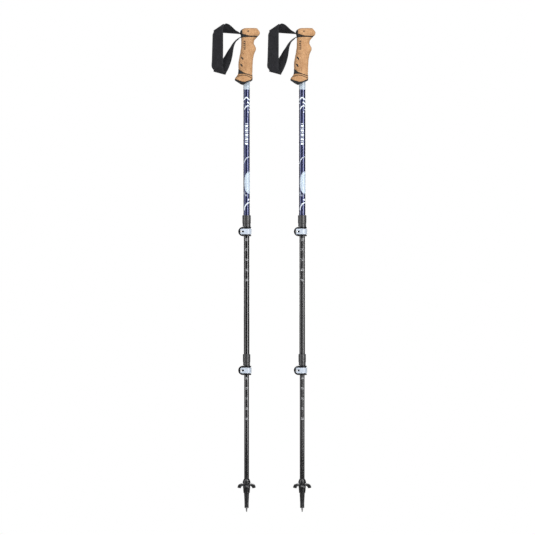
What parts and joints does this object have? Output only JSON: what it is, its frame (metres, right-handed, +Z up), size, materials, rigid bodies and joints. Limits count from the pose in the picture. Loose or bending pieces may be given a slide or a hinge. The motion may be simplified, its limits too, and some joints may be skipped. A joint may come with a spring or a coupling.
{
  "type": "pair of trekking poles",
  "caption": "Telescopic trekking poles with cork grips, webbing wrist straps, external lever clamps, small baskets and hard flexible tips.",
  "frame": {"origin": "the left pole's ground point, at the end of its carbide tip", "axes": "+Z up along the poles, +X from the left pole to the right one and towards the grips' fronts, +Y to the back"},
  "size_m": [0.2577, 0.0468, 1.2121],
  "materials": {
    "carbide": "ground",
    "bare_steel": "machined",
    "tip_plastic": "moulded, satin",
    "black_tube": "black anodised",
    "bush_plastic": "moulded",
    "navy_tube": "navy anodised, printed",
    "clamp_plastic": "moulded, satin",
    "lever_plastic": "moulded, semi-gloss",
    "nut_metal": "turned, grooved",
    "grip_rubber": "moulded",
    "cork": "cork composite, ground",
    "webbing": "woven"
  },
  "bodies": {
    "left_upper": {"left_grip_core": "grip_rubber", "left_grip_foot": "cork", "left_grip_body": "cork", "left_grip_collar": "grip_rubber", "left_grip_head": "cork", "left_strap_pin": "bare_steel", "left_strap_tail": "webbing", "left_upper_tube": "navy_tube", "left_upper_clamp_body": "clamp_plastic", "left_upper_clamp_saddle": "bare_steel", "left_upper_clamp_bolt": "bare_steel"},
    "left_middle": {"left_middle_tube": "black_tube", "left_middle_guide_bush": "bush_plastic", "left_lower_clamp_body": "clamp_plastic", "left_lower_clamp_saddle": "bare_steel", "left_lower_clamp_bolt": "bare_steel"},
    "left_lower": {"left_lower_tube": "black_tube", "left_lower_guide_bush": "bush_plastic", "left_flexible_tip": "tip_plastic", "left_tip_ferrule": "bare_steel", "left_carbide_point": "carbide"},
    "left_basket": {"left_basket": "tip_plastic"},
    "left_upper_lever": {"left_upper_clamp_lever": "lever_plastic", "left_upper_lever_pin": "bare_steel"},
    "left_lower_lever": {"left_lower_clamp_lever": "lever_plastic", "left_lower_lever_pin": "bare_steel"},
    "left_upper_nut": {"left_upper_clamp_nut": "nut_metal"},
    "left_lower_nut": {"left_lower_clamp_nut": "nut_metal"},
    "left_strap": {"left_wrist_strap": "webbing"},
    "left_wedge": {"left_strap_wedge": "clamp_plastic"},
    "right_upper": {"right_grip_core": "grip_rubber", "right_grip_foot": "cork", "right_grip_body": "cork", "right_grip_collar": "grip_rubber", "right_grip_head": "cork", "right_strap_pin": "bare_steel", "right_strap_tail": "webbing", "right_upper_tube": "navy_tube", "right_upper_clamp_body": "clamp_plastic", "right_upper_clamp_saddle": "bare_steel", "right_upper_clamp_bolt": "bare_steel"},
    "right_middle": {"right_middle_tube": "black_tube", "right_middle_guide_bush": "bush_plastic", "right_lower_clamp_body": "clamp_plastic", "right_lower_clamp_saddle": "bare_steel", "right_lower_clamp_bolt": "bare_steel"},
    "right_lower": {"right_lower_tube": "black_tube", "right_lower_guide_bush": "bush_plastic", "right_flexible_tip": "tip_plastic", "right_tip_ferrule": "bare_steel", "right_carbide_point": "carbide"},
    "right_basket": {"right_basket": "tip_plastic"},
    "right_upper_lever": {"right_upper_clamp_lever": "lever_plastic", "right_upper_lever_pin": "bare_steel"},
    "right_lower_lever": {"right_lower_clamp_lever": "lever_plastic", "right_lower_lever_pin": "bare_steel"},
    "right_upper_nut": {"right_upper_clamp_nut": "nut_metal"},
    "right_lower_nut": {"right_lower_clamp_nut": "nut_metal"},
    "right_strap": {"right_wrist_strap": "webbing"},
    "right_wedge": {"right_strap_wedge": "clamp_plastic"}
  },
  "joints": [
    {"name": "left_middle_slide", "type": "slide", "parent": "left_upper", "child": "left_middle", "axis": [0, 0, -1], "range_m": [-0.288, 0.075]},
    {"name": "left_lower_slide", "type": "slide", "parent": "left_middle", "child": "left_lower", "axis": [0, 0, -1], "range_m": [-0.255, 0.075]},
    {"name": "left_basket_release", "type": "slide", "parent": "left_lower", "child": "left_basket", "axis": [0, 0, -1], "range_m": [0, 0.075]},
    {"name": "left_upper_lever_hinge", "type": "hinge", "parent": "left_upper", "child": "left_upper_lever", "pos_m": [-0.0132, -0.01025, 0.6953], "axis": [0, 0, -1], "range_deg": [0, 150]},
    {"name": "left_upper_nut_turn", "type": "hinge", "parent": "left_upper", "child": "left_upper_nut", "pos_m": [-0.0132, 0.00865, 0.6953], "axis": [0, 1, 0], "continuous": true},
    {"name": "left_lower_lever_hinge", "type": "hinge", "parent": "left_middle", "child": "left_lower_lever", "pos_m": [-0.0132, -0.01025, 0.3509], "axis": [0, 0, -1], "range_deg": [0, 150]},
    {"name": "left_lower_nut_turn", "type": "hinge", "parent": "left_middle", "child": "left_lower_nut", "pos_m": [-0.0132, 0.00865, 0.3509], "axis": [0, 1, 0], "continuous": true},
    {"name": "left_strap_swing", "type": "hinge", "parent": "left_upper", "child": "left_strap", "pos_m": [-0.015, 0, 1.1833], "axis": [0, 1, 0], "range_deg": [-12, 14]},
    {"name": "left_wedge_lift", "type": "slide", "parent": "left_upper", "child": "left_wedge", "axis": [0, 0, 1], "range_m": [0, 0.0045]},
    {"name": "right_middle_slide", "type": "slide", "parent": "right_upper", "child": "right_middle", "axis": [0, 0, -1], "range_m": [-0.288, 0.075]},
    {"name": "right_lower_slide", "type": "slide", "parent": "right_middle", "child": "right_lower", "axis": [0, 0, -1], "range_m": [-0.255, 0.075]},
    {"name": "right_basket_release", "type": "slide", "parent": "right_lower", "child": "right_basket", "axis": [0, 0, -1], "range_m": [0, 0.075]},
    {"name": "right_upper_lever_hinge", "type": "hinge", "parent": "right_upper", "child": "right_upper_lever", "pos_m": [0.1248, -0.01025, 0.6953], "axis": [0, 0, -1], "range_deg": [0, 150]},
    {"name": "right_upper_nut_turn", "type": "hinge", "parent": "right_upper", "child": "right_upper_nut", "pos_m": [0.1248, 0.00865, 0.6953], "axis": [0, 1, 0], "continuous": true},
    {"name": "right_lower_lever_hinge", "type": "hinge", "parent": "right_middle", "child": "right_lower_lever", "pos_m": [0.1248, -0.01025, 0.3509], "axis": [0, 0, -1], "range_deg": [0, 150]},
    {"name": "right_lower_nut_turn", "type": "hinge", "parent": "right_middle", "child": "right_lower_nut", "pos_m": [0.1248, 0.00865, 0.3509], "axis": [0, 1, 0], "continuous": true},
    {"name": "right_strap_swing", "type": "hinge", "parent": "right_upper", "child": "right_strap", "pos_m": [0.123, 0, 1.1833], "axis": [0, 1, 0], "range_deg": [-12, 14]},
    {"name": "right_wedge_lift", "type": "slide", "parent": "right_upper", "child": "right_wedge", "axis": [0, 0, 1], "range_m": [0, 0.0045]},
    {"name": "pair_spread", "type": "slide", "parent": "left_upper", "child": "right_upper", "axis": [1, 0, 0], "range_m": [0, 0.3]}
  ]
}
